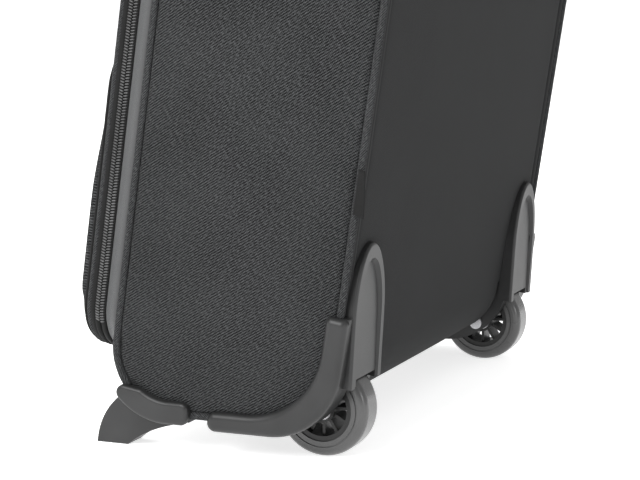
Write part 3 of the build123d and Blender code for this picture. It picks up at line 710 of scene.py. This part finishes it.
def turned(run, start):
    """A closed run of (point, normal) pairs, begun at the pair nearest start."""
    first = min(range(len(run)), key=lambda i: (run[i][0] - Vector(start)).length)
    return run[first:] + run[:first]


ring = list(zip(ring_line, ring_out))
zip_run = [(p, n) for p, n in turned(ring, (0, SECTION_LOW)) if p.y >= ZIP_END_Z]
hem_run = [(p, n) for p, n in turned(ring, (0, SECTION_HIGH)) if p.y <= ZIP_END_Z + 3]


def run_sweep(name, run, profile, material):
    """Open strip along a run of (point, normal) pairs round the mouth."""
    return sweep(name, [p for p, n in run], [n for p, n in run], profile, front_at, material, closed=False)


LID_ZIP_Y, BODY_ZIP_Y = LID_Y + ZIP_ROW, ZIP_Y - ZIP_ROW        # facing edges of the two tapes
body_tape = run_sweep("zip_tape_body", zip_run, [
    (-2.6, ZIP_Y + 0.8), (0.2, ZIP_Y + 1.4), (0.5, ZIP_Y + 0.4),
    (0.3, BODY_ZIP_Y + 0.3), (-0.4, BODY_ZIP_Y), (-2.6, BODY_ZIP_Y)], TAPE)
lid_tape = run_sweep("zip_tape_lid", zip_run, [
    (-2.6, LID_ZIP_Y), (-0.4, LID_ZIP_Y), (0.3, LID_ZIP_Y - 0.3),
    (0.5, LID_Y - 0.4), (0.2, LID_Y - 1.4), (-2.6, LID_Y - 0.8)], TAPE)
body_hem = run_sweep("hem_body", hem_run, [
    (-2.6, ZIP_Y + 0.8), (0.3, ZIP_Y + 1.6), (0.9, ZIP_Y),
    (0.6, BODY_ZIP_Y + 0.2), (-0.6, BODY_ZIP_Y), (-2.8, BODY_ZIP_Y)], DARK_CLOTH)
lid_hem = run_sweep("hem_lid", hem_run, [
    (-2.8, LID_ZIP_Y), (-0.6, LID_ZIP_Y), (0.6, LID_ZIP_Y - 0.2),
    (0.9, LID_Y), (0.3, LID_Y - 1.6), (-2.6, LID_Y - 0.8)], DARK_CLOTH)

tooth_path = resample([p for p, n in zip_run], 500, closed=False)
tooth_normals = []
for i in range(len(tooth_path)):
    along = (tooth_path[min(i + 1, len(tooth_path) - 1)] - tooth_path[max(i - 1, 0)]).normalized()
    tooth_normals.append((Vector((along.x, 0, along.y)), Vector((along.y, 0, -along.x))))


def ring_teeth(name, y, slant, phase):
    spots = []
    for i in range(len(tooth_path) - 1):
        p = tooth_path[i].lerp(tooth_path[i + 1], phase)
        along, out = tooth_normals[i]
        spots.append((Vector((p.x, y, p.y)) + out * 0.55, along, out, Vector((0, 1, 0)), slant))
    return teeth(name, spots, 3.1, 0.62, 0.85)


body_teeth = ring_teeth("zip_teeth_body", ZIP_Y - 1.2, 0.22, 0.0)
lid_teeth = ring_teeth("zip_teeth_lid", LID_Y + 1.2, -0.22, 0.5)
settle(body_tape, "case", "zip_tape", "main_zip_body_half")
settle(body_teeth, "case", "zip_tape")
settle(body_hem, "case", "zip_tape")
settle(lid_tape, "lid", "zip_tape", "main_zip_lid_half")
settle(lid_teeth, "lid", "zip_tape")
settle(lid_hem, "lid", "zip_tape")

SEAM_STITCHES = 380
seam_spots = []
seam_path = resample(section_line(0), SEAM_STITCHES)
for i, (p, n) in enumerate(zip(seam_path, outward(seam_path))):
    along = (seam_path[(i + 1) % SEAM_STITCHES] - p).normalized()
    seam_spots.append((Vector((p.x, FRONT - 3.3, p.y)) + Vector((n.x, 0, n.y)) * 0.9,
                       Vector((along.x, 0, along.y)), Vector((n.x, 0, n.y))))
settle(stitches("gusset_stitches", seam_spots), "case", "zip_tape")


# Lid ----------------------------------------------------------------------------------------------------

lid_profile = [(out, LID_Y + ahead) for out, ahead in (
    (-3, -0.4), (0.2, -0.8), (0.7, -2.0), (0.6, -3.6), (0.0, -4.6), (-0.9, -5.0), (-3.2, -5.2), (-3.2, -3),
    (-3, -0.8))]
lid_wall = sweep("lid_gusset_cloth", ring_line, ring_out, lid_profile, front_at, DARK_CLOTH)
settle(lid_wall, "lid", "twill")
edge_path = [Vector((p.x, LID_FRONT + 2.6, p.y)) for p in resample(section_line(1.6), 420)]
lid_cord = tube("lid_edge_cord", edge_path, 2.2, TWILL_PIPING, sides=12, wobble=0.02)
settle(lid_cord, "lid", "twill")
lid_marks = [(-176, 56), (176, 56), (176, 380), (-176, 380)]
LID_BACK = LID_Y - 4.6           # back of the padded face


def lid_at(u, v, d):
    return Vector((u, LID_BACK - d, v))


lid_pad = pillow("lid_face_pad", section_line(3.4), lid_marks, lid_at, LID_BACK - LID_FRONT + 0.1, TWILL,
                 64, 58, cap=1.5, pressure=2, seam=1.6, edge=6)
settle(lid_pad, "lid", "twill", "lid_shell")

POCKET_HALF, POCKET_LOW, POCKET_HIGH, POCKET_R = 184, 48, 262, 35


def rectangle(half, low, high):
    """Corners of an upright rectangle across the case, anticlockwise."""
    return [(-half, low), (half, low), (half, high), (-half, high)]


def pocket_at(u, v, d):
    """Full low down, and thinning to a flat hem under the zipper."""
    full = min(1.0, max(0.0, (240 - v) / 90.0))
    full = full * full * (3 - 2 * full) * (0.75 + 0.25 * min(1.0, max(0.0, (v - 50) / 30.0)))
    return Vector((u, LID_FRONT + 0.2 - min(d, 1.4) - max(0.0, d - 1.4) * full, v))


pocket_line = rounded(rectangle(POCKET_HALF, POCKET_LOW, POCKET_HIGH), [POCKET_R] * 4)
pocket = pillow("front_pocket_pad", pocket_line, rectangle(174, 58, 252), pocket_at, 8.0, TWILL, 64, 38,
                cap=2.0, pressure=2.5, seam=6.6, edge=7)
settle(pocket, "lid", "twill", "front_pocket")
rim_line = rounded(rectangle(POCKET_HALF + 0.6, POCKET_LOW - 0.6, POCKET_HIGH + 0.6), [POCKET_R + 0.6] * 4)
pocket_rim = [Vector((p.x, LID_FRONT - 1.0, p.y)) for p in resample(rim_line, 320)]
settle(tube("front_pocket_cord", pocket_rim, 1.3, DARK_CLOTH, sides=10, wobble=0.03), "lid", "twill")

TOOTH_STEP, STITCH_STEP = 1.6, 3.4
ACROSS, UP, AHEAD = Vector((1, 0, 0)), Vector((0, 0, 1)), Vector((0, -1, 0))


def straight_zip(name, half, z, node):
    """Coil zipper across the lid, with a welt and a row of stitches above and below it."""
    y = LID_FRONT - 2.0
    line = [Vector((-half + 2 * half * i / 60, z)) for i in range(61)]
    normals = [Vector((0, 1))] * 61
    welt = [(2.8, y + 1.0), (3.6, y + 0.9), (4.4, y + 0.3), (5.4, y + 0.6), (6.2, LID_FRONT + 0.3)]
    profile = [(-out, deep) for out, deep in reversed(welt)] + welt
    band = sweep(name + "_tape", line, normals, profile, front_at, TAPE, closed=False)
    settle(band, "lid", "zip_tape", node)
    spots = []
    count = int(2 * half / TOOTH_STEP)
    for i in range(count):
        x = -half + 2 * half * (i + 0.25) / count
        for row, slant in ((1, 0.22), (-1, -0.22)):
            shift = TOOTH_STEP / 2 if row > 0 else 0
            spots.append((Vector((x + shift, y + 0.7, z + row * 1.3)), ACROSS, AHEAD, UP, slant))
    settle(teeth(name + "_teeth", spots, 2.5, 0.5, 0.7), "lid", "zip_tape")
    rows = []
    for row in (1, -1):
        for i in range(int(2 * half / STITCH_STEP)):
            x = -half + STITCH_STEP / 2 + STITCH_STEP * i
            rows.append((Vector((x, y + 0.55, z + row * 4.9)), ACROSS, AHEAD))
    settle(stitches(name + "_stitches", rows), "lid", "zip_tape")


straight_zip("pocket_zip", 150, POCKET_ZIP_Z, "pocket_zip")
straight_zip("upper_zip", 120, UPPER_ZIP_Z, "upper_zip")


# Inside ---------------------------------------------------------------------------------------------------

def inner_pad(name, corners, radii, marks, y0, y1, material, cap, body, slot, node, nu=44, nv=36):
    """Padded panel that stands across the inside, its face at y1 and its back at y0."""
    way = 1 if y1 > y0 else -1

    def at(u, v, d):
        return Vector((-way * u, y0 + way * d, v))

    deep = abs(y1 - y0)
    made = pillow(name, rounded(corners, radii, 4), marks, at, deep, material, nu, nv, cap=cap, pressure=2,
                  seam=deep * 0.6, edge=8)
    return settle(made, body, slot, node)


NOTCH_FOOT = 128           # half the width left between the cut-off corners


def notched(low, half, step, high):
    """Upright panel whose lower corners are cut off to clear the wheel wells."""
    return [(-NOTCH_FOOT, low), (NOTCH_FOOT, low), (half, step), (half, high), (-half, high), (-half, step)]


inner_pad("rear_lining_pad", notched(44, 182, 96, 384), [12, 12, 20, 8, 8, 20],
          [(-156, 70), (156, 70), (180, 380), (-180, 380)], 42, 40.2, LINING, 0.6, "case", "lining",
          "rear_lining")
inner_pad("laptop_pad_foam", notched(64, 168, 100, 311), [12, 12, 16, 16, 16, 16],
          [(-148, 82), (148, 82), (164, 306), (-164, 306)], -0.6, -7.2, LINING, 1.2, "case", "lining",
          "laptop_pad")
inner_pad("lid_organiser_pad", rectangle(149, 96, 314), [12] * 4, rectangle(146, 99, 311),
          LID_Y - 4.9, LID_Y - 3.1, LINING, 0.8, "lid", "lining", "lid_organiser")

DIVIDER_HALF, DIVIDER_LOW, DIVIDER_HIGH, DIVIDER_Y = 164, 63, 277, -34.75
divider_line = rounded(rectangle(DIVIDER_HALF, DIVIDER_LOW, DIVIDER_HIGH), [10] * 4, 4)
divider_flat = patch(divider_line, 40, 26, rectangle(161, 66, 274))
divider_rows = [[Vector((p.x, DIVIDER_Y + 0.35 * sin(p.x * 0.05) * sin(p.y * 0.04), p.y)) for p in row]
                for row in divider_flat]
divider_uvs = [(p.x, p.y) for row in divider_flat for p in row]
divider = sheet_of("file_divider_cloth", divider_rows, divider_uvs, LINING)
settle(divider, "case", "lining", "file_divider")

strap_line = [Vector(p) for p in ((-9.4, 271), (-9.6, 300), (-9.8, 316), (-8.6, 318.6), (-4, 319.2),
                                  (30, 319.2), (37.4, 320), (39, 323), (39.2, 349))]
strap_line = resample(strap_line, 60, closed=False)
strap_xs = (-19, -18.4, -9, 0, 9, 18.4, 19)
strap_rows = [[Vector((x, p.x, p.y)) for x in strap_xs] for p in strap_line]
strap_uvs = [(i * 2.6, x) for i in range(len(strap_line)) for x in strap_xs]
strap = sheet_of("sleeve_strap_webbing", strap_rows, strap_uvs, TAPE, thick=1.4)
settle(strap, "case", "zip_tape", "sleeve_strap")


# Blank ribbon tag beside the rear piping ------------------------------------------------------------------

TAG_WIDE, TAG_LOW, TAG_HIGH = 8.4, 181.5, 29
tag_rows, tag_uvs = [], []
for j in range(13):
    tag_row = []
    for i in range(9):
        s, t = i / 8, j / 12
        bend = 0.4 * sin(pi * s) * sin(2.2 * t + 0.4)
        a = radians(82 - 34 * t)
        x = HALF_WIDTH + 1.2 + TAG_WIDE * s * cos(a) + bend * sin(a)
        y = BACK - 1 + TAG_WIDE * s * sin(a) - bend * cos(a)
        tag_row.append(Vector((x, y, TAG_LOW + (TAG_HIGH + 2 * s) * t - 1.5 * s)))
        tag_uvs.append((TAG_WIDE * s, TAG_HIGH * t))
    tag_rows.append(tag_row)
tag = sheet_of("seam_tag_ribbon", tag_rows, tag_uvs, DARK_CLOTH, thick=0.7)
settle(tag, "case", "tag_cloth", "seam_tag")


# Floor, light and camera ----------------------------------------------------------------------------------

floor_graph = Graph("floor", 0.9, Emission_Color=(1, 1, 1, 1), Emission_Strength=0.7)
floor_cloud = floor_graph.noise(floor_graph.point(), 3, 2)
floor_graph.colour(floor_graph.blend(floor_cloud, grey(0.9), grey(0.94)))
bpy.ops.mesh.primitive_plane_add(size=30)
floor_plane = bpy.context.object
floor_plane.name = "studio_floor"
floor_plane.data.materials.append(floor_graph.mat)


def area_light(name, place, aim, size, power):
    data = bpy.data.lights.new(name, "AREA")
    data.size = size
    data.energy = power
    made = bpy.data.objects.new(name, data)
    bpy.context.collection.objects.link(made)
    made.location = place
    made.rotation_euler = (Vector(aim) - Vector(place)).to_track_quat("-Z", "Y").to_euler()


area_light("key", (2.0, -0.5, 1.9), (0, 0, 0.2), 1.5, 62)
area_light("fill", (0.9, 1.9, 0.45), (0.15, 0.1, 0.08), 0.45, 4)
area_light("front_fill", (-0.8, -2.0, 1.4), (0, 0, 0.2), 1.6, 30)

world = bpy.data.worlds.new("studio")
world.use_nodes = True
world.node_tree.nodes["Background"].inputs[0].default_value = (1, 1, 1, 1)
world.node_tree.nodes["Background"].inputs[1].default_value = 0.6
bpy.context.scene.world = world
bpy.context.scene.view_settings.view_transform = "Standard"

yaw, pitch, roll = radians(24.157), radians(8.777), radians(0.991)
forward = Vector((-cos(yaw) * cos(pitch), -sin(yaw) * cos(pitch), -sin(pitch)))
right = forward.cross(Vector((0, 0, 1))).normalized()
down = forward.cross(right)
right, down = right * cos(roll) + down * sin(roll), down * cos(roll) - right * sin(roll)
camera_place = Vector((1.2861, 0.5702 - CENTRE_Y / 1000, 0.3339))       # over the floor, in metres
camera_data = bpy.data.cameras.new("camera")
camera_data.lens = 107.18
camera_data.clip_end = 50
camera = bpy.data.objects.new("camera", camera_data)
bpy.context.collection.objects.link(camera)
turn = Matrix((right, -down, -forward)).transposed().to_4x4()
camera.matrix_world = Matrix.Translation(camera_place) @ turn
bpy.context.scene.camera = camera
